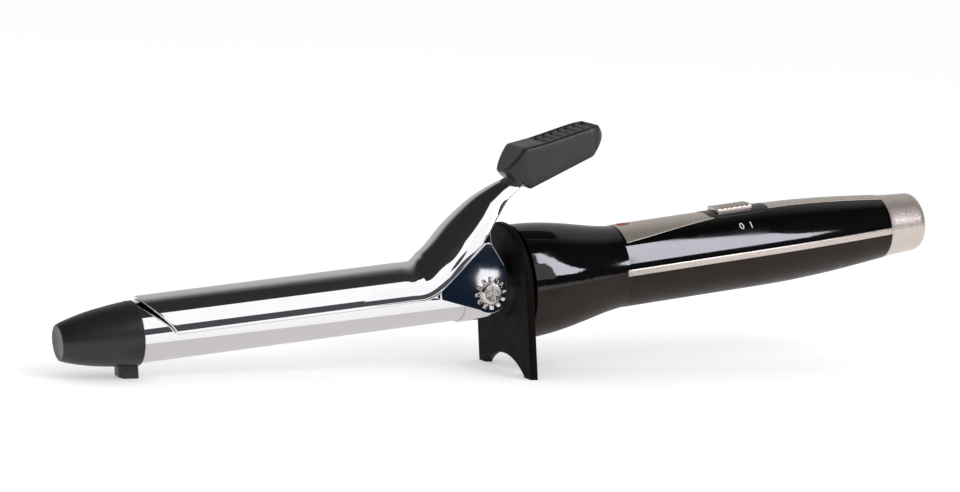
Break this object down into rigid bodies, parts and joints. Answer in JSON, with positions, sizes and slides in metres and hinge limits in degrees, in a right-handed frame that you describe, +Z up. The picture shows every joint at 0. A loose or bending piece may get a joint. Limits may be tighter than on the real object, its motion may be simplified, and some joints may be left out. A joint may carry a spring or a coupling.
{
  "type": "curling iron",
  "caption": "Curling iron with a chrome barrel and spring clamp, cool tip, stand plate, two-tone handle with a slide switch, lamp window and turning cord outlet.",
  "frame": {"origin": "middle of the iron's footprint on the table, under the clamp's pivot by a little; the iron lies on its tip foot and on the two feet of its stand plate", "axes": "+X towards the cord end, +Y to the left of a person who looks along the iron from tip to cord, +Z up; the barrel's axis rises 6.5 degrees towards the cord end"},
  "size_m": [0.3522, 0.045, 0.093],
  "materials": {
    "chrome_barrel": "polished chrome plate",
    "chrome_clamp": "polished chrome plate",
    "black_heatproof": "fine satin moulded, heat-proof",
    "black_gloss": "piano gloss",
    "smoke_satin": "satin",
    "champagne": "champagne metallic",
    "lamp_red": "clear tinted",
    "screw_steel": "plated steel",
    "spring_steel": "tempered",
    "aluminium_bar": "extruded",
    "stone": "sintered",
    "brass_contact": "bright",
    "film": "amber film",
    "board_green": "circuit laminate",
    "wire_jacket": "silicone wire jacket",
    "clear_lamp": "epoxy lamp body"
  },
  "bodies": {
    "base": {"cool_tip": "black_heatproof", "tip_insulator": "smoke_satin", "barrel_tube": "chrome_barrel", "heat_spreader_upper": "aluminium_bar", "heat_spreader_lower": "aluminium_bar", "ptc_stones": "stone", "electrode_strips": "brass_contact", "heater_sleeve": "film", "thermal_fuse": "stone", "temperature_sensor": "stone", "heater_leads": "wire_jacket", "hinge_bracket": "chrome_barrel", "pivot_screws": "screw_steel", "lock_washers": "screw_steel", "clamp_spring": "spring_steel", "stand_plate": "black_heatproof", "barrel_collar": "black_heatproof", "handle_upper_shell": "black_gloss", "handle_lower_shell": "smoke_satin", "side_trim_left": "champagne", "side_trim_right": "champagne", "top_trim_front": "champagne", "top_trim_rear": "champagne", "lamp_lens": "lamp_red", "lamp": "clear_lamp", "switch_bezel": "black_gloss", "switch_body": "black_heatproof", "circuit_board": "board_green", "housing_screws": "screw_steel", "end_cap": "champagne", "brush_contacts": "brass_contact"},
    "clamp": {"clamp_blade": "chrome_clamp", "thumb_rest": "black_heatproof"},
    "knob": {"switch_knob": "champagne"},
    "swivel": {"cord_swivel": "black_heatproof", "slip_rings": "brass_contact"}
  },
  "joints": [
    {"name": "clamp_pivot", "type": "hinge", "parent": "base", "child": "clamp", "pos_m": [-0.01373, 0, 0.03105], "axis": [0, 1, 0], "range_deg": [0, 18], "stiffness_Nm_per_rad": 0.35, "springref_deg": -28.65, "deforming": ["clamp_spring"]},
    {"name": "switch_slide", "type": "slide", "parent": "base", "child": "knob", "axis": [-0.9913, 0, -0.1319], "range_m": [0, 0.004]},
    {"name": "cord_swivel_turn", "type": "hinge", "parent": "base", "child": "swivel", "pos_m": [0.16559, 0, 0.05491], "axis": [0.9913, 0, 0.1319], "continuous": true}
  ]
}
